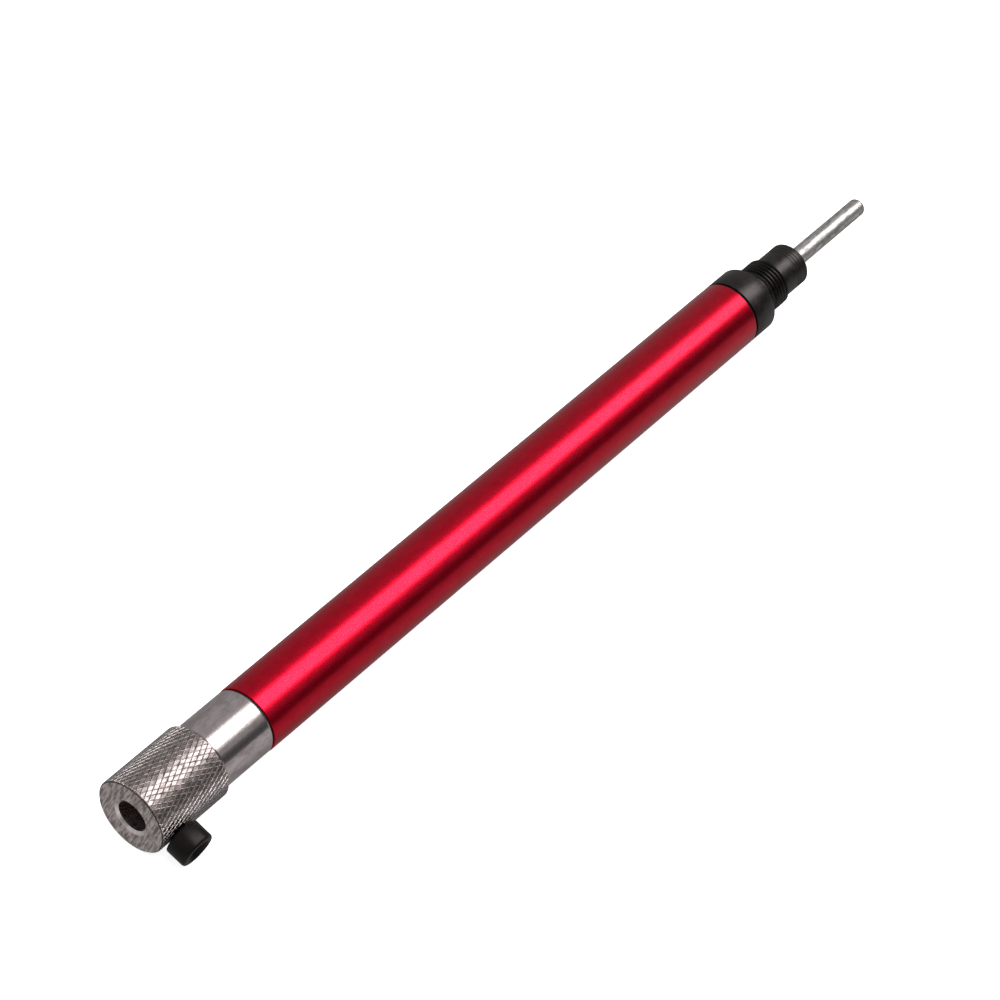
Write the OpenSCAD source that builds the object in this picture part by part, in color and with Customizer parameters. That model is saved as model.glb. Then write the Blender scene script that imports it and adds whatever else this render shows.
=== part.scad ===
// Pin vise with a sprung feeler rod.
// The tool's axis is the X axis. X = 0 is the front face of the head, where the bore opens,
// and +X runs along the handle to the tail. +Z is up when the clamp screw rests on the table.

/* [Head] */
// Diameter over the knurl
head_d = 17.8; // [17:0.1:19]
// Length of the knurled head
head_len = 20.5; // [17:0.1:22]
// Chamfer at the rear of the knurl
head_rear_chamfer = 1.0; // [0.4:0.1:1.4]
// Diameter of the smooth neck behind the head
neck_d = 15.8; // [14:0.1:16]
// Length of the neck
neck_len = 13.8; // [11:0.1:16]
// Diameter of the bore that takes the stem
bore_d = 7.4; // [7:0.1:8.4]
// Depth of that bore
bore_len = 26.0; // [24:0.1:27]

/* [Clamp screw] */
// Distance of the screw's axis behind the front face
screw_x = 5.0; // [4:0.1:6]
// Angle of the screw below the horizontal, in degrees
screw_angle = 20; // [0:1:45]
// Diameter of the screw's thread
screw_d = 5.0; // [4:0.1:5.2]
// Thread pitch of the screw
screw_pitch = 0.8; // [0.5:0.1:1]
// Diameter of the screw's head
screw_head_d = 8.5; // [8:0.1:9]
// Height of the screw's head
screw_head_len = 5.0; // [4:0.1:5.5]
// Width across the flats of the hexagon socket
socket_af = 4.0; // [3:0.1:4.5]
// Depth of the hexagon socket
socket_depth = 2.5; // [2:0.1:3]
// Gap between the screw's head and the knurl
screw_gap = 0.55; // [0.45:0.05:1]

/* [Handle] */
// Outer diameter of the tube
tube_d = 16.0; // [15.6:0.1:17]
// Length of the tube
tube_len = 165.2; // [160:0.1:190]
// Wall thickness of the tube
tube_wall = 1.5; // [1.2:0.1:1.6]
// Thickness of the washer between the neck and the tube
washer_len = 0.5; // [0.3:0.1:1]

/* [Tail bushing] */
// Length of the plain collar
collar_len = 7.7; // [6:0.1:10]
// Chamfer on the collar's free edge
collar_chamfer = 0.8; // [0.3:0.1:1.2]
// Width of the groove between the tube and the collar
groove_len = 0.6; // [0.3:0.1:1]
// Outer diameter of the mounting thread
thread_d = 12.0; // [11.9:0.1:12.4]
// Length of the mounting thread
thread_len = 7.8; // [6:0.1:9]
// Pitch of the mounting thread
thread_pitch = 1.0; // [0.75:0.25:1.25]
// Length of the plain relief between the collar and the thread
relief_len = 1.7; // [0.8:0.1:2]
// Diameter of the plain nose
nose_d = 10.6; // [10:0.1:10.7]
// Length of the plain nose
nose_len = 8.3; // [7:0.1:10]
// Length of the spigot inside the tube
spigot_len = 12.5; // [8:0.5:16]

/* [Rod] */
// Diameter of the rod
rod_d = 4.3; // [4:0.05:4.5]
// Length of the rod that sticks out of the nose
rod_out = 27.3; // [20:0.1:34]
// Height of the rod's domed tip
rod_dome = 1.2; // [0.5:0.1:1.5]
// Travel of the rod into the handle
rod_travel = 12; // [4:1:12]

/* [Spring] */
// Outer diameter of the coils
spring_d = 8.0; // [7.6:0.1:8.2]
// Diameter of the wire
wire_d = 0.8; // [0.6:0.1:0.9]
// Number of turns
spring_turns = 12; // [8:1:14]

/* [Hidden] */
$fn = 96;

EPS = 0.05;            // how far a cutting shape runs past a face
RUN = 0.05;            // radial clearance of a running fit
thread_depth = 0.6134; // depth of a metric thread, as a share of its pitch
STEEL = "#b9b7b2";
BLACK = "#2a2725";
BRONZE = "#b98a4a";

// stations along X
neck_end = head_len + neck_len;
tube_x0 = neck_end + washer_len;
tube_x1 = tube_x0 + tube_len;
collar_x1 = tube_x1 + collar_len;
thread_x1 = collar_x1 + thread_len;
nose_x1 = thread_x1 + nose_len;
spigot_x0 = tube_x1 - spigot_len;
rod_x1 = nose_x1 + rod_out;

// bearings of the spindle
tube_bore_r = tube_d / 2 - tube_wall;
spindle_r = 4.5;
spindle_bore_r = 3.0;
spindle_x1 = 72;
bush_len = 12;
rear_bush_x0 = 58;
rear_bush_x1 = rear_bush_x0 + bush_len;
ring_groove_x0 = 71;
ring_groove_x1 = 71.7;
ring_groove_r = 3.9;

// parts on the rod's line
rod_r = rod_d / 2;
rod_guide_x0 = 112;
rod_guide_len = 10;
spindle_bush_x0 = 46;
spindle_bush_len = 10;
anvil_rest_gap = 1;
anvil_x0 = bore_len + anvil_rest_gap + rod_travel;
anvil_r = 2.8;
anvil_len = 3;
anvil_socket = 1.5;
rod_x0 = anvil_x0 + anvil_len - anvil_socket;
stop_x = collar_x1 + 3.3;
clip_len = 0.8;
clip_groove_r = 1.6;
stop_collar_len = 3;
stop_collar_x0 = stop_x - clip_len - stop_collar_len;
seat_x1 = stop_collar_x0 - 34;
seat_len = 8;
seat_boss_len = 3;
spigot_bore_r = 4.5;
guide_bush_r = 3.0;
guide_bush_len = 8.2;
wiper_len = 1.5;
nose_hole_r = rod_r + 0.2;

// the clamp screw's own line, measured out from the tool's axis
pad_len = 1.0;
pad_r = 1.9;
pad_z0 = bore_d / 2 + 0.1;
screw_z0 = pad_z0 + pad_len;
screw_z1 = head_d / 2 + screw_gap;
stud_r = 0.95;
stud_len = 1.1;

// A solid of revolution about the X axis. The outline is a list of [x, radius].
module turned(outline) {
    rotate([0, 90, 0])
        rotate_extrude()
            polygon([for (p = outline) [p[1], p[0]]]);
}

// A plain ring between two stations along X.
module ring(x0, x1, r_out, r_in) {
    turned([[x0, r_in], [x0, r_out], [x1, r_out], [x1, r_in]]);
}

// The ring-shaped ridges of a thread that ends at station b, as [station, radius] points.
function thread_points(a, b, r, pitch) =
    let (
        crest = pitch / 8,
        flank = 5 / 16 * pitch,
        root = pitch / 4,
        root_r = r - thread_depth * pitch,
        ridges = floor((b - a + root) / pitch),
        first = b - (ridges - 1) * pitch - flank - crest / 2
    )
    [
        for (i = [0 : ridges - 1], side = [-1, 1])
            let (middle = first + i * pitch)
            each side < 0
                ? [[middle - crest / 2 - flank, root_r], [middle - crest / 2, r]]
                : [[middle + crest / 2, r], [middle + crest / 2 + flank, root_r]]
    ];

// Puts a shape whose +Z runs out from the tool's axis on the clamp screw's line.
module on_screw_line() {
    translate([screw_x, 0, 0])
        rotate([90 + screw_angle, 0, 0])
            children();
}

// An open retaining ring: a ring with a gap on its upper side.
module open_ring(x0, x1, r_out, r_in, gap) {
    difference() {
        ring(x0, x1, r_out, r_in);
        translate([x0 - EPS, -gap / 2, 0])
            cube([x1 - x0 + 2 * EPS, gap, r_out + 1]);
    }
}

// The knurled head and the neck, bored from the front for the stem and from the rear for the spindle.
module chuck_body() {
    front = 0.35;
    mouth_r = 0.65;
    mouth_x = 0.5;
    edge = 0.2;
    color(STEEL)
        difference() {
            turned([
                [0, bore_d / 2 + mouth_r],
                [0, head_d / 2 - front],
                [front, head_d / 2],
                [head_len - head_rear_chamfer, head_d / 2],
                [head_len, head_d / 2 - head_rear_chamfer],
                [head_len, neck_d / 2],
                [neck_end - edge, neck_d / 2],
                [neck_end, neck_d / 2 - edge],
                [neck_end, spindle_r],
                [bore_len, spindle_r],
                [bore_len, bore_d / 2],
                [mouth_x, bore_d / 2]
            ]);
            on_screw_line()
                translate([0, 0, bore_d / 4])
                    cylinder(h = head_d, r = screw_d / 2 + RUN);
        }
}

// Socket-head cap screw, with a small hole in its end for the pad's stud.
module clamp_screw() {
    thread_z0 = screw_z0 + 0.3;
    thread_z1 = screw_z1 - 0.3;
    lead = screw_d / 2 - thread_depth * screw_pitch;
    edge = 0.4;
    socket_top = screw_z1 + screw_head_len;
    color(BLACK)
        on_screw_line()
            difference() {
                rotate_extrude()
                    polygon([
                        for (p = concat(
                            [[screw_z0, 0], [screw_z0, lead]],
                            thread_points(thread_z0, thread_z1, screw_d / 2, screw_pitch),
                            [
                                [screw_z1, lead],
                                [screw_z1, screw_head_d / 2],
                                [socket_top - edge, screw_head_d / 2],
                                [socket_top, screw_head_d / 2 - edge],
                                [socket_top, 0]
                            ]
                        )) [p[1], p[0]]
                    ]);
                translate([0, 0, socket_top - socket_depth])
                    cylinder(h = socket_depth + EPS, r = socket_af / sqrt(3), $fn = 6);
                translate([0, 0, screw_z0 - EPS])
                    cylinder(h = stud_len + 0.2 + EPS, r = stud_r + RUN);
            }
}

// Swivel tip of the clamp screw.
module clamp_pad() {
    color(BRONZE)
        on_screw_line() {
            translate([0, 0, pad_z0])
                cylinder(h = pad_len, r = pad_r);
            translate([0, 0, pad_z0 + pad_len - EPS])
                cylinder(h = stud_len + EPS, r = stud_r);
        }
}

// Hollow shaft on which the head turns, pressed in the back of the neck.
module spindle() {
    color(STEEL)
        turned([
            [bore_len, spindle_bore_r],
            [bore_len, spindle_r],
            [ring_groove_x0, spindle_r],
            [ring_groove_x0, ring_groove_r],
            [ring_groove_x1, ring_groove_r],
            [ring_groove_x1, spindle_r],
            [spindle_x1, spindle_r],
            [spindle_x1, spindle_bore_r]
        ]);
}

module spindle_bush() {
    color(BRONZE)
        ring(spindle_bush_x0, spindle_bush_x0 + spindle_bush_len, spindle_bore_r, rod_r + RUN);
}

module spindle_washer() {
    color(STEEL)
        ring(rear_bush_x1 + RUN, ring_groove_x0, tube_bore_r - 0.3, spindle_r + RUN);
}

module retaining_ring() {
    color(BLACK)
        open_ring(ring_groove_x0, ring_groove_x1, spindle_r + 1.1, ring_groove_r, 3);
}

// Thin dark washer that shows between the neck and the tube.
module thrust_washer() {
    color(BLACK)
        ring(neck_end, tube_x0, neck_d / 2 - 0.4, spindle_r + RUN);
}

module front_bush() {
    color(BRONZE)
        ring(tube_x0, tube_x0 + bush_len, tube_bore_r, spindle_r + RUN);
}

module rear_bush() {
    color(BRONZE)
        ring(rear_bush_x0, rear_bush_x1, tube_bore_r, spindle_r + RUN);
}

// Long anodised tube, with lightly broken edges.
module handle_tube() {
    edge = 0.2;
    color("#c4122f")
        turned([
            [tube_x0, tube_bore_r],
            [tube_x0, tube_d / 2 - edge],
            [tube_x0 + edge, tube_d / 2],
            [tube_x1 - edge, tube_d / 2],
            [tube_x1, tube_d / 2 - edge],
            [tube_x1, tube_bore_r]
        ]);
}

module rod_guide() {
    color("#e8e4da")
        ring(rod_guide_x0, rod_guide_x0 + rod_guide_len, tube_bore_r, rod_r + RUN);
}

// Plug that takes the fixed end of the spring, with a boss that centres it.
module spring_seat() {
    boss_r = spring_d / 2 - wire_d - 0.2;
    hole_r = rod_r + 0.25;
    color(STEEL)
        turned([
            [seat_x1 - seat_len, hole_r],
            [seat_x1 - seat_len, tube_bore_r],
            [seat_x1, tube_bore_r],
            [seat_x1, boss_r],
            [seat_x1 + seat_boss_len, boss_r],
            [seat_x1 + seat_boss_len, hole_r]
        ]);
}

// Compression spring: a wire swept along a helix about the X axis.
module return_spring() {
    sides = 8;
    per_turn = 16;
    steps = spring_turns * per_turn;
    coil_r = (spring_d - wire_d) / 2;
    end_gap = wire_d / 2 + 0.02;
    x0 = seat_x1 + end_gap;
    run = stop_collar_x0 - seat_x1 - 2 * end_gap;
    points = [
        for (i = [0 : steps], k = [0 : sides - 1])
            let (
                turn = 360 * i / per_turn,
                r = coil_r + wire_d / 2 * cos(360 * k / sides)
            )
            [x0 + run * i / steps + wire_d / 2 * sin(360 * k / sides), r * cos(turn), r * sin(turn)]
    ];
    walls = [
        for (i = [0 : steps - 1], k = [0 : sides - 1])
            let (
                a = i * sides + k,
                b = i * sides + (k + 1) % sides
            )
            [a, b, b + sides, a + sides]
    ];
    first_end = [[for (k = [sides - 1 : -1 : 0]) k]];
    last_end = [[for (k = [0 : sides - 1]) steps * sides + k]];
    color("#8f9296")
        polyhedron(points, concat(walls, first_end, last_end));
}

// Long straight rod with a domed tip and a groove for the clip.
module push_rod() {
    dome_steps = 8;
    flat_r = 0.8;
    color("#9a9893")
        turned(concat(
            [
                [rod_x0, 0],
                [rod_x0, rod_r],
                [stop_x - clip_len, rod_r],
                [stop_x - clip_len, clip_groove_r],
                [stop_x, clip_groove_r],
                [stop_x, rod_r]
            ],
            [
                for (i = [0 : dome_steps])
                    let (a = 90 * i / dome_steps)
                    [rod_x1 - rod_dome + rod_dome * sin(a), flat_r + (rod_r - flat_r) * cos(a)]
            ],
            [[rod_x1, 0]]
        ));
}

// Hardened button on the front end of the rod.
module rod_anvil() {
    edge = 0.5;
    color(STEEL)
        turned([
            [anvil_x0, 0],
            [anvil_x0, anvil_r - edge],
            [anvil_x0 + edge, anvil_r],
            [anvil_x0 + anvil_len, anvil_r],
            [anvil_x0 + anvil_len, rod_r],
            [rod_x0, rod_r],
            [rod_x0, 0]
        ]);
}

module stop_collar() {
    color(STEEL)
        ring(stop_collar_x0, stop_collar_x0 + stop_collar_len, spigot_bore_r - 0.1, rod_r);
}

module rod_clip() {
    color(BLACK)
        open_ring(stop_x - clip_len, stop_x, rod_r + 1.3, clip_groove_r, 2.6);
}

// Black bushing: a spigot in the tube, a collar flush with it past a narrow groove, a thread and a plain nose.
// The collar's face is undercut around the thread, so that the part screwed on seats on the outer ring alone.
module tail_bushing() {
    nose_edge = 0.4;
    groove_r = tube_d / 2 - 0.5;
    root_r = thread_d / 2 - thread_depth * thread_pitch;
    undercut_r = thread_d / 2 + 0.15;
    undercut_len = 0.3;
    color(BLACK)
        turned(concat(
            [
                [spigot_x0, spigot_bore_r],
                [spigot_x0, tube_bore_r],
                [tube_x1, tube_bore_r],
                [tube_x1, groove_r],
                [tube_x1 + groove_len, groove_r],
                [tube_x1 + groove_len, tube_d / 2],
                [collar_x1 - collar_chamfer, tube_d / 2],
                [collar_x1, tube_d / 2 - collar_chamfer],
                [collar_x1, undercut_r],
                [collar_x1 - undercut_len, undercut_r],
                [collar_x1 - undercut_len, root_r]
            ],
            thread_points(collar_x1 + relief_len, thread_x1, thread_d / 2, thread_pitch),
            [
                [thread_x1, nose_d / 2],
                [nose_x1 - nose_edge, nose_d / 2],
                [nose_x1, nose_d / 2 - nose_edge],
                [nose_x1, nose_hole_r],
                [stop_x + guide_bush_len + wiper_len, nose_hole_r],
                [stop_x + guide_bush_len + wiper_len, guide_bush_r],
                [stop_x, guide_bush_r],
                [stop_x, spigot_bore_r]
            ]
        ));
}

module guide_bush() {
    color(BRONZE)
        ring(stop_x, stop_x + guide_bush_len, guide_bush_r, rod_r + RUN);
}

module rod_wiper() {
    color("#181818")
        ring(stop_x + guide_bush_len, stop_x + guide_bush_len + wiper_len, guide_bush_r, rod_r + RUN);
}

chuck_body();
clamp_screw();
clamp_pad();
spindle();
spindle_bush();
spindle_washer();
retaining_ring();
thrust_washer();
front_bush();
rear_bush();
handle_tube();
rod_guide();
spring_seat();
return_spring();
push_rod();
rod_anvil();
stop_collar();
rod_clip();
tail_bushing();
guide_bush();
rod_wiper();
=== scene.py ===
import math

import bmesh
import bpy
from mathutils import Matrix, Vector


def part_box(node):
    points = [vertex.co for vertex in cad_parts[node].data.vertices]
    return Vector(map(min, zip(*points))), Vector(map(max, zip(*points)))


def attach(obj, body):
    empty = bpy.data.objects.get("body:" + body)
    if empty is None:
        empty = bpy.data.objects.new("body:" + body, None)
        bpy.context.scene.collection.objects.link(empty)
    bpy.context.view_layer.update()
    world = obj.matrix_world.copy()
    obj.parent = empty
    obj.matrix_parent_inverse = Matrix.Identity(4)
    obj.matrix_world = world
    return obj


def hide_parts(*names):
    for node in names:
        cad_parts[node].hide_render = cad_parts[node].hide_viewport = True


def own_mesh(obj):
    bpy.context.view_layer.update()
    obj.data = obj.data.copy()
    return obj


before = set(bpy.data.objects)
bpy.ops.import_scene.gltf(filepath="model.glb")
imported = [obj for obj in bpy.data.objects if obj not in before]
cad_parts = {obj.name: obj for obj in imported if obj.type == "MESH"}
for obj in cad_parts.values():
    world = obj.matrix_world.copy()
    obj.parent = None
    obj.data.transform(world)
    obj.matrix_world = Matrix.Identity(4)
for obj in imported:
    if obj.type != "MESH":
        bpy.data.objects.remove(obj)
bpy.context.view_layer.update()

# The looks, the fine shapes and the studio of the pin vise drill. The tool lies along +X from its head.
# Shapes are given in millimetres. The floor, the lights and the camera are given in metres.

MM = 0.001


# ---------------------------------------------------------------- dimensions, in mm, from the frame

def stretch(node):
    """First station, last station and largest radius of a node that is turned about X."""
    low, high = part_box(node)
    return low.x / MM, high.x / MM, high.z / MM


CHUCK_X0, CHUCK_X1, HEAD_R = stretch("chuck_body")
TUBE_X0, TUBE_X1, TUBE_R = stretch("handle_tube")
FITTING_X0, NOSE_X1, COLLAR_R = stretch("tail_bushing")
ROD_X0, ROD_X1, ROD_R = stretch("push_rod")
WASHER_X0, WASHER_X1, WASHER_R = stretch("thrust_washer")
SPRING_X0, SPRING_X1, SPRING_R = stretch("return_spring")
SPINDLE_X0, _, SPINDLE_R = stretch("spindle")
CLIP_X0, CLIP_X1, _ = stretch("rod_clip")
GUIDE_X0, _, GUIDE_R = stretch("guide_bush")
_, WIPER_X1, _ = stretch("rod_wiper")
_, _, BUSH_R = stretch("front_bush")

HEAD_LEN = 20.5
NECK_R = 7.9
BORE_R = 3.7
MOUTH_R = 4.35
MOUTH_DEPTH = 0.5
HEAD_FRONT_CHAMFER = 0.35
HEAD_REAR_CHAMFER = 0.9

KNURL_LINES = 50
KNURL_ANGLE = math.radians(25.5)
KNURL_DEPTH = 0.2
KNURL_GROOVE = 0.14    # half the groove's width, as a share of the pitch

SCREW_X = 5.0
SCREW_ANGLE = math.radians(20)
SCREW_R = 2.5
SCREW_PITCH = 0.8
SCREW_HEAD_R = 4.25
SCREW_HEAD_LEN = 5.0
SCREW_START = 4.8      # the screw's inner end, from the tool's axis
SCREW_SEAT = HEAD_R + 0.55
SCREW_FILLET = 0.25
PAD_HOLE_R = 1.0
PAD_HOLE_DEPTH = 1.3
SOCKET_R = 4.0 / math.sqrt(3)
SOCKET_DEPTH = 2.5
SOCKET_MOUTH = 0.65
SCREW_HOLE_R = 2.55

COLLAR_X1 = TUBE_X1 + 7.7
GROOVE_LEN = 0.6
UNDERCUT = 0.3
THREAD_X0 = COLLAR_X1 + 1.7
THREAD_X1 = COLLAR_X1 + 7.8
THREAD_R = 6.0
THREAD_PITCH = 1.0
THREAD_DEPTH = 0.6134  # as a share of the pitch
NOSE_R = 5.3
NOSE_RINGS = 4
NOSE_RING_PITCH = 0.9
NOSE_RING_END = 1.3    # from the last ring to the nose's end
NOSE_RING_DEPTH = 0.13
SPIGOT_BORE_R = 4.5

ROD_DOME = 1.2
ROD_TIP_R = 0.7
CLIP_GROOVE_R = 1.6
WIRE_R = 0.4

EDGE = 0.08            # a softly broken edge
AXIS_GAP = 0.02        # radius at which an end is closed with one small face


# ---------------------------------------------------------------- mesh building

def rounded(points, steps=4):
    """A closed outline of (x, r, cut) corners, each softened over its cut."""
    outline = []
    for i, (x, r, cut) in enumerate(points):
        corner = Vector((x, r))
        if not cut:
            outline.append(corner)
            continue
        before = Vector(points[i - 1][:2]) - corner
        after = Vector(points[(i + 1) % len(points)][:2]) - corner
        start = corner + before.normalized() * cut
        end = corner + after.normalized() * cut
        for k in range(steps + 1):
            t = k / steps
            outline.append(start * (1 - t) ** 2 + corner * 2 * t * (1 - t) + end * t ** 2)
    return [(p.x, p.y) for p in outline]


def quarter_round(x, r, length, height, steps=2):
    """Points of a rounded edge, from (x - length, r) to (x, r - height). length < 0 faces the other way."""
    turns = [math.pi / 2 * k / steps for k in range(steps + 1)]
    return [(x - length * (1 - math.sin(a)), r - height * (1 - math.cos(a))) for a in turns]


def ring_of_verts(bm, x, r, segments):
    """A ring about X, or a single vertex where the radius is nothing."""
    if r < 1e-6:
        return [bm.verts.new((x * MM, 0, 0))]
    turns = [2 * math.pi * k / segments for k in range(segments)]
    return [bm.verts.new((x * MM, r * MM * math.cos(a), r * MM * math.sin(a))) for a in turns]


def skin(bm, first, second):
    """Faces between two rings of vertices, either of which may be a single point on the axis."""
    count = max(len(first), len(second))
    for k in range(count):
        corners = [first[k % len(first)], first[(k + 1) % len(first)]]
        corners += [second[(k + 1) % len(second)], second[k % len(second)]]
        bm.faces.new(list(dict.fromkeys(corners)))


def turned(outline, segments=192):
    """A solid of revolution about X from a closed outline of (x, r) points in mm."""
    bm = bmesh.new()
    rings = [ring_of_verts(bm, x, r, segments) for x, r in outline]
    for k, ring in enumerate(rings):
        following = rings[(k + 1) % len(rings)]
        if len(ring) > 1 or len(following) > 1:
            skin(bm, ring, following)
    return bm


def slice_across(bm, x, keep=None):
    """Cuts the mesh at station x. keep is +1 or -1 for the side that stays, or None for both."""
    bmesh.ops.bisect_plane(
        bm,
        geom=bm.verts[:] + bm.edges[:] + bm.faces[:],
        dist=1e-8,
        plane_co=(x * MM, 0, 0),
        plane_no=(1, 0, 0),
        clear_outer=keep == -1,
        clear_inner=keep == 1,
    )


def turn_down(bm, limit):
    """Brings every vertex in to the radius that limit(x) gives at its station."""
    for v in bm.verts:
        radius = math.hypot(v.co.y, v.co.z)
        most = limit(v.co.x / MM) * MM
        if radius > most:
            v.co.y *= most / radius
            v.co.z *= most / radius


def open_edge_at(bm, x):
    """The open edges of the mesh that lie at station x."""
    near = 1e-6
    return [
        e for e in bm.edges
        if e.is_boundary and all(abs(v.co.x - x * MM) < near for v in e.verts)
    ]


def carry_on(bm, edges, outline):
    """Extrudes an open loop along more (x, r) points and gives the new open loop."""
    for x, r in outline:
        grown = bmesh.ops.extrude_edge_only(bm, edges=edges)["geom"]
        for v in grown:
            if isinstance(v, bmesh.types.BMVert):
                scale = r * MM / math.hypot(v.co.y, v.co.z)
                v.co = Vector((x * MM, v.co.y * scale, v.co.z * scale))
        edges = [e for e in grown if isinstance(e, bmesh.types.BMEdge) and e.is_boundary]
    return edges


def knurled_sleeve(x0, x1, radius, lines, angle, depth, groove):
    """An open sleeve with two crossing families of V grooves and flat diamonds between them.

    The mesh follows the grooves, so that each groove's floor and edges are mesh edges.
    """
    bm = bmesh.new()
    offsets = (0, groove, 1 - groove)
    step = math.pi * radius / (lines * math.tan(angle))
    middle = (x0 + x1) / 2
    reach = math.ceil((x1 - x0) / 2 / step) + 2
    lattice = {}

    def place(i):
        """Where line i lies, counted in grooves: each groove has its floor and its two edges."""
        return i // 3 + offsets[i % 3]

    def vertex(i, j):
        """The vertex where line i of one family meets line j of the other, made only once."""
        turns = i // (3 * lines)
        key = (i - 3 * lines * turns, j - 3 * lines * turns)
        if key not in lattice:
            a, b = place(key[0]), place(key[1])
            sunk = depth if key[0] % 3 == 0 or key[1] % 3 == 0 else 0
            turn = math.pi * (a + b) / lines
            r = (radius - sunk) * MM
            x = (middle + (a - b) * step) * MM
            lattice[key] = bm.verts.new((x, r * math.cos(turn), r * math.sin(turn)))
        return lattice[key]

    for i in range(3 * lines):
        for j in range(i - 3 * reach, i + 3 * reach):
            corners = [vertex(i, j), vertex(i + 1, j), vertex(i + 1, j + 1), vertex(i, j + 1)]
            rises_across = (i % 3 == 0 and j % 3 == 2) or (i % 3 == 2 and j % 3 == 0)
            if rises_across:
                corners = corners[1:] + corners[:1]
            if i % 3 != 1 and j % 3 != 1:
                bm.faces.new((corners[0], corners[1], corners[2]))
                bm.faces.new((corners[0], corners[2], corners[3]))
            else:
                bm.faces.new(corners)
    slice_across(bm, x0, keep=1)
    slice_across(bm, x1, keep=-1)
    return bm


def threaded_sleeve(x0, x1, radius, pitch, steps=96):
    """An open sleeve with a right-hand metric thread, chamfered down to its root at both ends."""
    bm = bmesh.new()
    depth = THREAD_DEPTH * pitch
    crest = 1 / 8
    flank = 5 / 16
    root_start = crest / 2 + flank
    profile = [(-crest / 2, 0), (crest / 2, 0), (root_start, depth), (1 - root_start, depth)]
    size = len(profile)
    count = (math.ceil((x1 - x0) / pitch) + 4) * size
    rows = []
    for g in range(count):
        offset, sunk = profile[g % size]
        row = []
        for j in range(steps):
            turn = 2 * math.pi * j / steps
            x = (x0 + pitch * (g // size - 2 + offset + j / steps)) * MM
            r = (radius - sunk) * MM
            row.append(bm.verts.new((x, r * math.cos(turn), r * math.sin(turn))))
        rows.append(row)
    for g in range(count - 1 - size):
        for j in range(steps - 1):
            bm.faces.new((rows[g][j], rows[g + 1][j], rows[g + 1][j + 1], rows[g][j + 1]))
        seam = (rows[g][-1], rows[g + 1][-1], rows[g + 1 + size][0], rows[g + size][0])
        bm.faces.new(seam)
    loose = [v for v in bm.verts if not v.link_faces]
    bmesh.ops.delete(bm, geom=loose, context="VERTS")
    slice_across(bm, x0, keep=1)
    slice_across(bm, x1, keep=-1)
    for k in range(1, 5):
        slice_across(bm, x0 + depth * k / 4)
        slice_across(bm, x1 - depth * k / 4)
    root = radius - depth
    turn_down(bm, lambda x: root + max(0, min(x - x0, x1 - x)))
    return bm


def coil(x0, x1, mean_r, wire_r, turns, dead_turns=1.5, sides=10, per_turn=28):
    """A compression spring about X, with closed turns at both ends."""
    bm = bmesh.new()
    closed_pitch = 2 * wire_r * 1.05
    closed = dead_turns * closed_pitch
    total = turns + 2 * dead_turns
    inner = x1 - x0 - 2 * wire_r - 2 * closed
    along = Vector((1, 0, 0))

    def station(u):
        """Station of the wire's centre after u turns."""
        if u < dead_turns:
            return x0 + wire_r + closed * u / dead_turns
        if u > total - dead_turns:
            return x1 - wire_r - closed * (total - u) / dead_turns
        return x0 + wire_r + closed + inner * (u - dead_turns) / turns

    rings = []
    count = round(total * per_turn)
    for k in range(count + 1):
        u = total * k / count
        out = Vector((0, math.cos(2 * math.pi * u), math.sin(2 * math.pi * u)))
        centre = along * station(u) + out * mean_r
        ring = []
        for s in range(sides):
            a = 2 * math.pi * s / sides
            point = centre + (along * math.sin(a) + out * math.cos(a)) * wire_r
            ring.append(bm.verts.new(point * MM))
        rings.append(ring)
    for first, second in zip(rings, rings[1:]):
        skin(bm, first, second)
    bm.faces.new(rings[0])
    bm.faces.new(rings[-1])
    return bm


def finish_piece(name, bm, looks, sharp=28):
    """Turns a bmesh into a scene object with smooth faces and crisp edges."""
    bmesh.ops.recalc_face_normals(bm, faces=bm.faces[:])
    mesh = bpy.data.meshes.new(name)
    bm.to_mesh(mesh)
    bm.free()
    piece = bpy.data.objects.new(name, mesh)
    bpy.context.scene.collection.objects.link(piece)
    for look in looks:
        mesh.materials.append(look)
    shade(piece, sharp)
    return piece


def shade(piece, sharp):
    """Smooth faces, with crisp edges where they meet at more than sharp degrees."""
    mesh = piece.data
    mesh.polygons.foreach_set("use_smooth", [True] * len(mesh.polygons))
    mesh.set_sharp_from_angle(angle=math.radians(sharp))


def carve(piece, cutters, sharp=28):
    """Takes the cutters out of a closed piece and removes them."""
    for cutter in cutters:
        cut = piece.modifiers.new("cut", "BOOLEAN")
        cut.operation = "DIFFERENCE"
        cut.solver = "MANIFOLD"
        cut.object = cutter
    bpy.context.view_layer.update()
    evaluated = piece.evaluated_get(bpy.context.evaluated_depsgraph_get())
    mesh = bpy.data.meshes.new_from_object(evaluated)
    mesh.name = piece.name
    piece.modifiers.clear()
    piece.data = mesh
    for cutter in cutters:
        bpy.data.objects.remove(cutter)
    shade(piece, sharp)


def paint(piece, choose):
    """Gives each face the material index that choose(x, radius, normal) returns."""
    for face in piece.data.polygons:
        x, y, z = face.center / MM
        face.material_index = choose(x, math.hypot(y, z), face.normal)


def on_screw_line():
    """Turns a shape about X into one on the clamp screw's line, with +X running out of the head."""
    turn = Matrix.Rotation(math.pi / 2 + SCREW_ANGLE, 4, "X") @ Matrix.Rotation(-math.pi / 2, 4, "Y")
    return Matrix.Translation((SCREW_X * MM, 0, 0)) @ turn


# ---------------------------------------------------------------- materials

def map_range(nodes, links, value, limits, smooth=True):
    """Runs a value from limits (low, high) to limits (out_low, out_high), given as one row of four."""
    node = nodes.new("ShaderNodeMapRange")
    node.interpolation_type = "SMOOTHSTEP" if smooth else "LINEAR"
    for socket, number in zip(("From Min", "From Max", "To Min", "To Max"), limits):
        node.inputs[socket].default_value = number
    links.new(value, node.inputs["Value"])
    return node.outputs["Result"]


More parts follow.
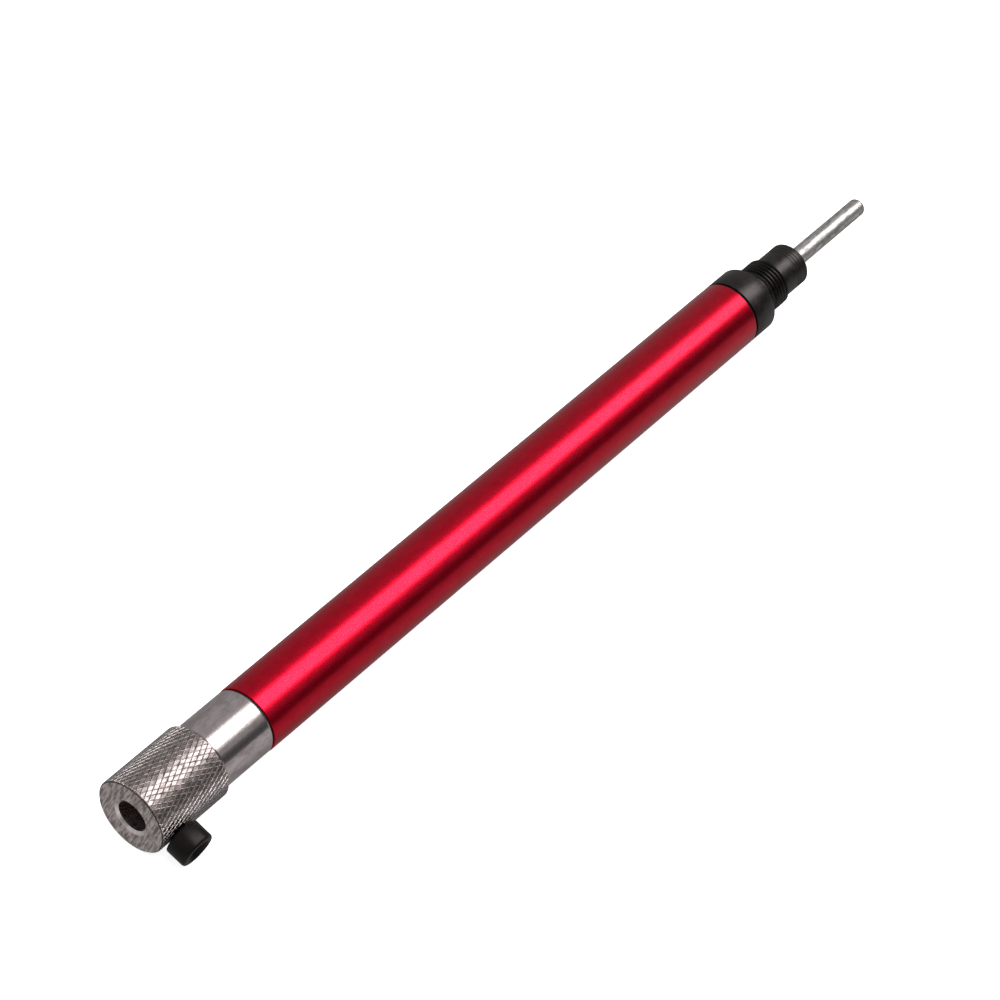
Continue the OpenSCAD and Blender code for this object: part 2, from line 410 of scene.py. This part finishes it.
class Look:
    """A node material on one Principled shader, with patterns sized in millimetres."""

    def __init__(self, name, colour, metallic=1.0, roughness=0.3):
        self.material = bpy.data.materials.new(name)
        self.material.use_nodes = True
        self.nodes = self.material.node_tree.nodes
        self.links = self.material.node_tree.links
        self.shader = self.nodes["Principled BSDF"]
        self.shader.inputs["Base Color"].default_value = (*colour, 1)
        self.shader.inputs["Metallic"].default_value = metallic
        self.shader.inputs["Roughness"].default_value = roughness
        self.place = self.nodes.new("ShaderNodeTexCoord").outputs["Object"]

    def grain(self, cell, detail=3.0, rough=0.55, turn=(0, 0, 0)):
        """Noise from 0 to 1 whose cells measure cell = (x, y, z) mm."""
        mapping = self.nodes.new("ShaderNodeMapping")
        mapping.vector_type = "TEXTURE"
        mapping.inputs["Rotation"].default_value = turn
        mapping.inputs["Scale"].default_value = [c * MM for c in cell]
        noise = self.nodes.new("ShaderNodeTexNoise")
        noise.inputs["Scale"].default_value = 1.0
        noise.inputs["Detail"].default_value = detail
        noise.inputs["Roughness"].default_value = rough
        self.links.new(self.place, mapping.inputs["Vector"])
        self.links.new(mapping.outputs["Vector"], noise.inputs["Vector"])
        return noise.outputs["Fac"]

    def remap(self, value, low, high, out_low, out_high):
        """The value, eased from low..high to out_low..out_high."""
        return map_range(self.nodes, self.links, value, (low, high, out_low, out_high))

    def sum(self, first, second):
        """Two patterns added, which runs from 0 to 2."""
        node = self.nodes.new("ShaderNodeMath")
        node.operation = "ADD"
        self.links.new(first, node.inputs[0])
        self.links.new(second, node.inputs[1])
        return node.outputs["Value"]

    def colours(self, factor, first, second):
        """Base colour that runs from first to second with the factor."""
        node = self.nodes.new("ShaderNodeMix")
        node.data_type = "RGBA"
        node.inputs["A"].default_value = (*first, 1)
        node.inputs["B"].default_value = (*second, 1)
        self.links.new(factor, node.inputs["Factor"])
        self.links.new(node.outputs["Result"], self.shader.inputs["Base Color"])

    def roughness(self, value):
        """Roughness that follows a pattern."""
        self.links.new(value, self.shader.inputs["Roughness"])

    def relief(self, height, depth, below=None):
        """Bump of that depth in mm, on top of an earlier one."""
        node = self.nodes.new("ShaderNodeBump")
        node.inputs["Strength"].default_value = 1.0
        node.inputs["Distance"].default_value = depth * MM
        self.links.new(height, node.inputs["Height"])
        if below:
            self.links.new(below, node.inputs["Normal"])
        self.links.new(node.outputs["Normal"], self.shader.inputs["Normal"])
        return node.outputs["Normal"]

    def set(self, **sockets):
        """Constant values, by the socket's name with _ for each space."""
        for name, value in sockets.items():
            self.shader.inputs[name.replace("_", " ")].default_value = value


def red_anodised():
    """Satin red tube, with faint turning rings under the colour."""
    look = Look("red_anodised", (0.6, 0.004, 0.024), roughness=0.28)
    cloud = look.grain((3.0, 1.6, 1.6), detail=4)
    look.colours(look.remap(cloud, 0.3, 0.7, 0, 1), (0.64, 0.004, 0.026), (0.55, 0.003, 0.021))
    fine = look.grain((0.3, 0.24, 0.24), detail=3)
    rings = look.grain((0.1, 40, 40), detail=2)
    look.roughness(look.remap(look.sum(fine, rings), 0.6, 1.4, 0.24, 0.33))
    below = look.relief(fine, 0.007)
    look.relief(rings, 0.002, below)
    look.set(Coat_Weight=0.15, Coat_Roughness=0.1, Coat_IOR=1.5)
    return look.material


def turned_steel(name="turned_steel", bright=0.64, roughness=0.15):
    """Smooth steel with fine rings about X and duller patches."""
    warm = (bright, bright * 0.89, bright * 0.88)
    look = Look(name, warm, roughness=roughness)
    rings = look.grain((0.09, 60, 60), detail=3)
    patches = look.grain((2.5, 1.2, 1.2), detail=5, rough=0.65)
    dull = (bright * 0.7, bright * 0.6, bright * 0.585)
    look.colours(look.remap(patches, 0.35, 0.7, 0, 1), warm, dull)
    look.roughness(look.remap(look.sum(rings, patches), 0.6, 1.5, roughness - 0.05, roughness + 0.12))
    grit = look.grain((0.5, 0.35, 0.35), detail=4)
    below = look.relief(grit, 0.012)
    look.relief(rings, 0.004, below)
    return look.material


def knurled_steel(name, light, dark, roughness):
    """Duller steel for the knurl, blotchy from handling. Its lighter and darker copies are painted light: a
    painted highlight on the groove walls, painted shade on the flats and a painted shade line on the front
    chamfer.
    """
    look = Look(name, light, roughness=roughness)
    patches = look.grain((1.6, 0.8, 0.8), detail=4)
    look.colours(look.remap(patches, 0.3, 0.7, 0, 1), light, dark)
    fine = look.grain((0.12, 0.12, 0.12), detail=2)
    look.roughness(look.remap(look.sum(fine, patches), 0.6, 1.4, roughness - 0.05, roughness + 0.1))
    look.relief(fine, 0.006)
    return look.material


def ground_steel():
    """The head's front face, with straight parallel marks from the grinder."""
    look = Look("ground_steel", (0.5, 0.48, 0.465), roughness=0.4)
    tilt = (math.radians(25), 0, 0)
    marks = look.grain((4, 0.2, 6.0), detail=4, rough=0.65, turn=tilt)
    coarse = look.grain((4, 0.7, 3.0), detail=2, turn=tilt)
    both = look.sum(marks, coarse)
    look.colours(look.remap(both, 0.8, 1.22, 0, 1), (0.25, 0.21, 0.2), (0.78, 0.68, 0.66))
    look.roughness(look.remap(both, 0.7, 1.3, 0.5, 0.32))
    look.relief(both, 0.03)
    return look.material


def black_oxide(name, base=0.002, roughness=0.32, shine=0.42):
    """Blackened steel with a weak brown cast in patches."""
    look = Look(name, (base, base * 0.9, base * 0.85), metallic=0.0, roughness=roughness)
    patches = look.grain((1.6, 1.1, 1.1), detail=5, rough=0.6)
    brown = (base * 3.2, base * 2.4, base * 2.0)
    look.colours(look.remap(patches, 0.4, 0.75, 0, 1), (base, base * 0.94, base * 0.92), brown)
    fine = look.grain((0.14, 0.14, 0.14), detail=3)
    look.roughness(look.remap(look.sum(fine, patches), 0.6, 1.5, roughness - 0.07, roughness + 0.12))
    look.relief(fine, 0.012)
    look.set(Specular_Tint=(1, 0.86, 0.85, 1), Specular_IOR_Level=shine)
    return look.material


def drawn_rod():
    """Grey rod with streaks along its length and a slightly pitted skin."""
    look = Look("drawn_rod", (0.5, 0.49, 0.47), roughness=0.3)
    streaks = look.grain((7, 0.5, 0.5), detail=5, rough=0.65)
    blots = look.grain((1.8, 1.2, 1.2), detail=4)
    both = look.sum(streaks, blots)
    look.colours(look.remap(both, 0.8, 1.2, 0, 1), (0.3, 0.287, 0.274), (0.64, 0.62, 0.595))
    look.roughness(look.remap(both, 0.75, 1.25, 0.45, 0.33))
    grit = look.grain((0.4, 0.25, 0.25), detail=4)
    below = look.relief(both, 0.02)
    look.relief(grit, 0.03, below)
    return look.material


def plain_look(name, light, dark, roughness, cell=(0.12, 0.12, 0.12), metallic=1.0):
    """A speckled look for the small pieces, in metal, plastic or rubber."""
    look = Look(name, light, metallic=metallic, roughness=roughness)
    speckle = look.grain(cell, detail=3)
    look.colours(look.remap(speckle, 0.35, 0.7, 0, 1), light, dark)
    look.roughness(look.remap(speckle, 0.3, 0.7, roughness - 0.06, roughness + 0.1))
    look.relief(speckle, 0.004)
    return look.material


RED = red_anodised()
NECK_STEEL = turned_steel()
# The knurl's flats and groove walls are darker and lighter copies of one steel. This is painted shade on
# the flats and a painted highlight on the groove walls, which look lit as light lines.
KNURL_TOPS_PAINTED_SHADE = knurled_steel("knurl_tops_painted_shade", (0.42, 0.375, 0.365), (0.17, 0.148, 0.143), 0.27)
KNURL_WALLS_PAINTED_HIGHLIGHT = knurled_steel("knurl_grooves_painted_highlight", (0.52, 0.465, 0.455), (0.26, 0.23, 0.223), 0.26)
FACE_STEEL = ground_steel()
BORE_STEEL = turned_steel("bored_steel", bright=0.85, roughness=0.26)
# A very dark copy of the knurl steel for the front chamfer: a painted shade line round the head's face.
CHAMFER_PAINTED_SHADE = knurled_steel("front_chamfer_painted_shade", (0.13, 0.112, 0.108), (0.06, 0.052, 0.05), 0.3)
BLACK = black_oxide("black_oxide")
SCREW_BLACK = black_oxide("screw_black", base=0.001, roughness=0.34, shine=0.19)
ROD_STEEL = drawn_rod()
INNER_STEEL = turned_steel("inner_steel", bright=0.55, roughness=0.26)
SPRING_STEEL = plain_look("spring_steel", (0.36, 0.36, 0.37), (0.22, 0.22, 0.23), 0.34, (2.0, 0.2, 0.2))
BRONZE = plain_look("sintered_bronze", (0.62, 0.42, 0.21), (0.42, 0.26, 0.12), 0.42)
BRASS = plain_look("turned_brass", (0.78, 0.58, 0.28), (0.66, 0.47, 0.2), 0.26, (0.08, 4, 4))
ACETAL = plain_look("acetal", (0.82, 0.8, 0.74), (0.76, 0.74, 0.68), 0.45, (0.1, 6, 6), metallic=0)
RUBBER = plain_look("seal_rubber", (0.02, 0.02, 0.02), (0.035, 0.034, 0.033), 0.6, metallic=0)
DARK_WASHER = plain_look("dark_washer", (0.018, 0.018, 0.018), (0.03, 0.03, 0.03), 0.45, metallic=0)


# ---------------------------------------------------------------- the pieces

def stand_for(piece, node, body):
    """Lets the piece take the place of a CAD node: the piece goes on that node's body and the node is
    hidden.
    """
    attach(piece, body)
    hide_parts(node)


def make_tube():
    """Long anodised tube with softened ends."""
    edge = 0.22
    bore_edge = 0.1
    outline = rounded([
        (TUBE_X0, BUSH_R, bore_edge),
        (TUBE_X0, TUBE_R, edge),
        (TUBE_X1, TUBE_R, edge),
        (TUBE_X1, BUSH_R, bore_edge),
    ])
    tube = finish_piece("red_tube", turned(outline, segments=256), [RED])
    stand_for(tube, "handle_tube", "handle")


def make_washer():
    """Thin washer between the neck and the tube, clear of the spindle."""
    edge = 0.12
    inner_r = SPINDLE_R + 0.05
    outline = rounded([
        (WASHER_X0, inner_r, 0),
        (WASHER_X0, WASHER_R, edge),
        (WASHER_X1, WASHER_R, edge),
        (WASHER_X1, inner_r, 0),
    ])
    washer = finish_piece("dark_thrust_washer", turned(outline), [DARK_WASHER])
    stand_for(washer, "thrust_washer", "handle")


def make_chuck():
    """Knurled head and neck in one piece, with the stem's bore and the clamp screw's hole."""
    bm = knurled_sleeve(CHUCK_X0, HEAD_LEN, HEAD_R, KNURL_LINES, KNURL_ANGLE, KNURL_DEPTH, KNURL_GROOVE)
    for k in range(1, 4):
        slice_across(bm, CHUCK_X0 + HEAD_FRONT_CHAMFER * k / 3)
        slice_across(bm, HEAD_LEN - HEAD_REAR_CHAMFER * k / 3)
    front_r = HEAD_R - HEAD_FRONT_CHAMFER
    rear_r = HEAD_R - HEAD_REAR_CHAMFER
    turn_down(bm, lambda x: min(HEAD_R, front_r + x - CHUCK_X0, rear_r + HEAD_LEN - x))
    front = carry_on(bm, open_edge_at(bm, CHUCK_X0), [
        (CHUCK_X0, front_r - 0.12),
        (CHUCK_X0, MOUTH_R + EDGE),
        (CHUCK_X0 + 0.03, MOUTH_R),
        (CHUCK_X0 + MOUTH_DEPTH, BORE_R),
        (SPINDLE_X0, BORE_R),
    ])
    rear = carry_on(bm, open_edge_at(bm, HEAD_LEN), [
        (HEAD_LEN, NECK_R + EDGE),
        (HEAD_LEN + EDGE, NECK_R),
        *quarter_round(CHUCK_X1, NECK_R, 0.25, 0.22),
        (CHUCK_X1, SPINDLE_R),
        (SPINDLE_X0, SPINDLE_R),
    ])
    bmesh.ops.bridge_loops(bm, edges=front + rear)
    looks = [KNURL_TOPS_PAINTED_SHADE, KNURL_WALLS_PAINTED_HIGHLIGHT, FACE_STEEL, NECK_STEEL, BORE_STEEL, CHAMFER_PAINTED_SHADE]
    tops, walls, face, neck, bore, edge = range(len(looks))
    chuck = finish_piece("knurled_chuck", bm, looks, sharp=12)
    hole = turned([
        (BORE_R / 2, 0),
        (BORE_R / 2, SCREW_HOLE_R),
        (HEAD_R + 2, SCREW_HOLE_R),
        (HEAD_R + 2, 0),
    ], segments=64)
    bmesh.ops.transform(hole, matrix=on_screw_line(), verts=hole.verts[:])
    carve(chuck, [finish_piece("hole_cutter", hole, [])], sharp=12)

    def choose(x, radius, normal):
        """The look of a face, by where it lies and which way it faces."""
        if radius < MOUTH_R + 0.05 or (x > SPINDLE_X0 + 0.1 and radius < NECK_R - 0.5):
            return bore
        if x > HEAD_LEN - HEAD_REAR_CHAMFER:
            return neck
        if normal.x < -0.9:
            return face
        # The front chamfer takes the painted shade look.
        if x < CHUCK_X0 + HEAD_FRONT_CHAMFER * 0.7:
            return edge
        # The flats take the darker copy (painted shade) and the groove walls the lighter copy (painted
        # highlight).
        return tops if radius > HEAD_R - 0.05 else walls

    paint(chuck, choose)
    stand_for(chuck, "chuck_body", "chuck")


def hexagon_hole(top):
    """What the hexagon socket takes out of the screw's head, with a drill's point below it."""
    floor = top - SOCKET_DEPTH
    point = floor - 0.6
    above = top + 1
    return turned([(point, 0), (floor, SOCKET_R), (above, SOCKET_R), (above, 0)], segments=6)


def cone_hole(top):
    """What the 45-degree chamfer round the socket's mouth takes out."""
    mouth_r = SOCKET_R + SOCKET_MOUTH
    down = 0.8
    up = 0.2
    return turned([
        (top - down, 0),
        (top - down, mouth_r - down),
        (top + up, mouth_r + up),
        (top + up, 0),
    ], segments=64)


def make_screw():
    """M5 socket-head cap screw, made about X and then turned on to its own line."""
    thread_end = SCREW_SEAT - SCREW_FILLET
    bm = threaded_sleeve(SCREW_START, thread_end, SCREW_R, SCREW_PITCH, steps=64)
    root = SCREW_R - THREAD_DEPTH * SCREW_PITCH
    top = SCREW_SEAT + SCREW_HEAD_LEN
    inner = carry_on(bm, open_edge_at(bm, SCREW_START), [
        (SCREW_START, PAD_HOLE_R),
        (SCREW_START + PAD_HOLE_DEPTH, PAD_HOLE_R),
        (SCREW_START + PAD_HOLE_DEPTH + PAD_HOLE_R / 2, AXIS_GAP),
    ])
    bmesh.ops.holes_fill(bm, edges=inner)
    outer = carry_on(bm, open_edge_at(bm, thread_end), [
        (SCREW_SEAT - 0.05, root),
        (SCREW_SEAT, root + 0.06),
        *reversed(quarter_round(SCREW_SEAT, SCREW_HEAD_R, -0.35, 0.35)),
        *quarter_round(top, SCREW_HEAD_R, 0.6, 0.65, steps=4),
        (top, AXIS_GAP),
    ])
    bmesh.ops.holes_fill(bm, edges=outer)
    screw = finish_piece("cap_screw", bm, [SCREW_BLACK])
    hexagon = finish_piece("hexagon_cutter", hexagon_hole(top), [])
    mouth = finish_piece("mouth_cutter", cone_hole(top), [])
    carve(screw, [hexagon, mouth])
    screw.data.transform(on_screw_line())
    stand_for(screw, "clamp_screw", "screw")


def make_fitting():
    """Tail fitting: a spigot in the tube, a collar, a thread and a nose with fine turned rings."""
    bm = threaded_sleeve(THREAD_X0, THREAD_X1, THREAD_R, THREAD_PITCH)
    root = THREAD_R - THREAD_DEPTH * THREAD_PITCH
    nose = [(THREAD_X1, NOSE_R)]
    ring_x0 = NOSE_X1 - NOSE_RING_END - (NOSE_RINGS - 1) * NOSE_RING_PITCH
    for k in range(NOSE_RINGS):
        x = ring_x0 + k * NOSE_RING_PITCH
        ring_r = NOSE_R - NOSE_RING_DEPTH
        nose += [(x - 0.26, NOSE_R), (x - 0.1, ring_r), (x + 0.1, ring_r), (x + 0.26, NOSE_R)]
    nose += [
        (NOSE_X1 - 0.62, NOSE_R),
        (NOSE_X1 - 0.5, NOSE_R - 0.06),
        (NOSE_X1 - 0.08, NOSE_R - 0.5),
        (NOSE_X1, NOSE_R - 0.62),
        (NOSE_X1, ROD_R + 0.35),
        (NOSE_X1 - 0.15, ROD_R + 0.2),
        (WIPER_X1, ROD_R + 0.2),
        (WIPER_X1, GUIDE_R),
        (GUIDE_X0, GUIDE_R),
    ]
    front = carry_on(bm, open_edge_at(bm, THREAD_X1), nose)
    collar_x0 = TUBE_X1 + GROOVE_LEN
    groove_r = COLLAR_R - 0.5
    rear = carry_on(bm, open_edge_at(bm, THREAD_X0), [
        (COLLAR_X1 - UNDERCUT, root),
        (COLLAR_X1 - UNDERCUT, THREAD_R + 0.15),
        (COLLAR_X1 - 0.04, THREAD_R + 0.15),
        (COLLAR_X1, THREAD_R + 0.19),
        (COLLAR_X1, COLLAR_R - 0.86),
        (COLLAR_X1 - 0.06, COLLAR_R - 0.76),
        (COLLAR_X1 - 0.74, COLLAR_R - 0.08),
        (COLLAR_X1 - 0.9, COLLAR_R),
        *quarter_round(collar_x0, COLLAR_R, -0.2, 0.2),
        (collar_x0, groove_r),
        (TUBE_X1, groove_r),
        (TUBE_X1, BUSH_R),
        (FITTING_X0, BUSH_R),
        (FITTING_X0, SPIGOT_BORE_R),
        (GUIDE_X0, SPIGOT_BORE_R),
    ])
    bmesh.ops.bridge_loops(bm, edges=front + rear)
    fitting = finish_piece("tail_fitting", bm, [BLACK])
    stand_for(fitting, "tail_bushing", "handle")


def make_rod():
    """Long rod with a groove for its clip and a domed tip."""
    chamfer = 0.1
    outline = [
        (ROD_X0, 0),
        (ROD_X0, ROD_R - chamfer),
        (ROD_X0 + chamfer, ROD_R),
        (CLIP_X0, ROD_R),
        (CLIP_X0, CLIP_GROOVE_R),
        (CLIP_X1, CLIP_GROOVE_R),
        (CLIP_X1, ROD_R),
        *quarter_round(ROD_X1, ROD_R, ROD_DOME, ROD_R - ROD_TIP_R, steps=10),
        (ROD_X1, 0),
    ]
    rod = finish_piece("feeler_rod", turned(outline, segments=96), [ROD_STEEL])
    stand_for(rod, "push_rod", "rod")


def make_spring():
    """Return spring on the handle's body, with a mesh of its own. The real spring shortens towards its seat
    as the rod goes in; nothing here shortens it.
    """
    bm = coil(SPRING_X0, SPRING_X1, SPRING_R - WIRE_R, WIRE_R, turns=9)
    spring = finish_piece("coil_spring", bm, [SPRING_STEEL])
    stand_for(spring, "return_spring", "handle")
    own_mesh(spring)


make_tube()
make_washer()
make_chuck()
make_screw()
make_fitting()
make_rod()
make_spring()

INNER_LOOKS = {
    "clamp_pad": BRASS,
    "spindle": INNER_STEEL,
    "spindle_bush": BRONZE,
    "spindle_washer": INNER_STEEL,
    "retaining_ring": SPRING_STEEL,
    "front_bush": BRONZE,
    "rear_bush": BRONZE,
    "rod_guide": ACETAL,
    "spring_seat": INNER_STEEL,
    "rod_anvil": INNER_STEEL,
    "stop_collar": INNER_STEEL,
    "rod_clip": SPRING_STEEL,
    "guide_bush": BRONZE,
    "rod_wiper": RUBBER,
}
for node, look in INNER_LOOKS.items():
    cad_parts[node].material_slots[0].material = look


# ---------------------------------------------------------------- floor, light and camera, in metres

MIDDLE = Vector((0.11758, 0.0002, 0.00177))
FLOOR_GAP = 0.0001
FLOOR_REACH = 12
KEY_ANGLE = math.radians(66.9)
KEY_DISTANCE = 0.8
KEY_LENGTH = 1.5
KEY_AHEAD = 0.5        # how far the key light's middle lies past the tool's middle
# Name, half angle across in degrees, and radiance of each layer of the key light.
KEY_LAYERS = (("key_core", 17.3, 5), ("key_spread", 22.5, 1.0))
# Level of the room light by height, as (height, level) with heights from -1 to 1.
FRONT_LEVELS = (
    (-1, 0.25), (-0.45, 0.5), (-0.2, 0.46), (-0.02, 0.08), (0.16, 0.07), (0.45, 0.32), (1, 0.42),
)
BACK_LEVELS = ((-1, 0.25), (-0.4, 0.3), (0, 0.3), (0.6, 0.4), (1, 0.42))


def make_floor():
    """Plain pale floor just under the knurl, which stays out of the reflections in the steel."""
    height = -HEAD_R * MM - FLOOR_GAP
    mesh = bpy.data.meshes.new("floor")
    signs = ((-1, -1), (1, -1), (1, 1), (-1, 1))
    corners = [(x * FLOOR_REACH, y * FLOOR_REACH, height) for x, y in signs]
    mesh.from_pydata(corners, [], [(0, 1, 2, 3)])
    floor = bpy.data.objects.new("floor", mesh)
    bpy.context.scene.collection.objects.link(floor)
    look = Look("pale_floor", (0.85, 0.85, 0.85), metallic=0, roughness=0.9)
    cloud = look.grain((60, 60, 60), detail=2)
    look.colours(cloud, (0.86, 0.86, 0.86), (0.84, 0.84, 0.84))
    look.set(Emission_Color=(1, 1, 1, 1), Emission_Strength=0.8)
    mesh.materials.append(look.material)
    floor.visible_glossy = False


def make_world():
    """Soft room light by height: darkest at eye level on the -Y side, and brighter ahead of the head."""
    world = bpy.data.worlds.new("room")
    world.use_nodes = True
    nodes = world.node_tree.nodes
    links = world.node_tree.links
    parts = nodes.new("ShaderNodeSeparateXYZ")
    links.new(nodes.new("ShaderNodeTexCoord").outputs["Generated"], parts.inputs["Vector"])
    height = map_range(nodes, links, parts.outputs["Z"], (-1, 1, 0, 1), smooth=False)

    def levels(stops):
        """Grey level by height, from (height, level) pairs."""
        ramp = nodes.new("ShaderNodeValToRGB")
        ramp.color_ramp.interpolation = "EASE"
        while len(ramp.color_ramp.elements) < len(stops):
            ramp.color_ramp.elements.new(0.5)
        for element, (at, level) in zip(ramp.color_ramp.elements, stops):
            element.position = (at + 1) / 2
            element.color = (level, level, level, 1)
        links.new(height, ramp.inputs["Fac"])
        return ramp.outputs["Color"]

    blend = nodes.new("ShaderNodeMix")
    blend.data_type = "RGBA"
    links.new(map_range(nodes, links, parts.outputs["Y"], (-0.35, 0.15, 0, 1)), blend.inputs["Factor"])
    links.new(levels(FRONT_LEVELS), blend.inputs["A"])
    links.new(levels(BACK_LEVELS), blend.inputs["B"])
    ahead = map_range(nodes, links, parts.outputs["X"], (-0.5, -0.15, 1.55, 1.0), smooth=False)
    background = nodes["Background"]
    links.new(blend.outputs["Result"], background.inputs["Color"])
    links.new(ahead, background.inputs["Strength"])
    bpy.context.scene.world = world


def add_softbox(name, aim, direction, distance, size_x, size_y, radiance):
    """A rectangular lamp whose long side runs along X. direction points from aim to the lamp."""
    data = bpy.data.lights.new(name, "AREA")
    data.shape = "RECTANGLE"
    data.size = size_x
    data.size_y = size_y
    data.energy = radiance * math.pi * size_x * size_y
    lamp = bpy.data.objects.new(name, data)
    bpy.context.scene.collection.objects.link(lamp)
    out = Vector(direction).normalized()
    side = Vector((1, 0, 0))
    up = out.cross(side).normalized()
    side = up.cross(out)
    turn = Matrix((side, up, out)).transposed().to_4x4()
    lamp.matrix_world = Matrix.Translation(aim + out * distance) @ turn


def make_key_light():
    """One long soft light above the -Y side: a bright core in a wider and dimmer spread."""
    aim = MIDDLE + Vector((KEY_AHEAD, 0, 0))
    direction = (0, -math.cos(KEY_ANGLE), math.sin(KEY_ANGLE))
    for name, half_angle, radiance in KEY_LAYERS:
        width = 2 * KEY_DISTANCE * math.tan(math.radians(half_angle))
        add_softbox(name, aim, direction, KEY_DISTANCE, KEY_LENGTH, width, radiance)


def make_camera():
    """A long lens on the head's side, above the -Y side, aimed at the tool's middle."""
    azimuth = math.radians(-50.74)
    elevation = math.radians(43.3)
    distance = 0.8793
    flat = math.cos(elevation)
    away = Vector((math.sin(azimuth) * flat, -math.cos(azimuth) * flat, math.sin(elevation)))
    data = bpy.data.cameras.new("camera")
    data.sensor_width = 36
    data.lens = 145.9
    data.clip_start = 0.01
    data.clip_end = 50
    camera = bpy.data.objects.new("camera", data)
    bpy.context.scene.collection.objects.link(camera)
    camera.location = MIDDLE + away * distance
    camera.rotation_euler = away.to_track_quat("Z", "Y").to_euler()
    bpy.context.scene.camera = camera


make_floor()
make_world()
make_key_light()
make_camera()
bpy.context.scene.view_settings.view_transform = "Standard"
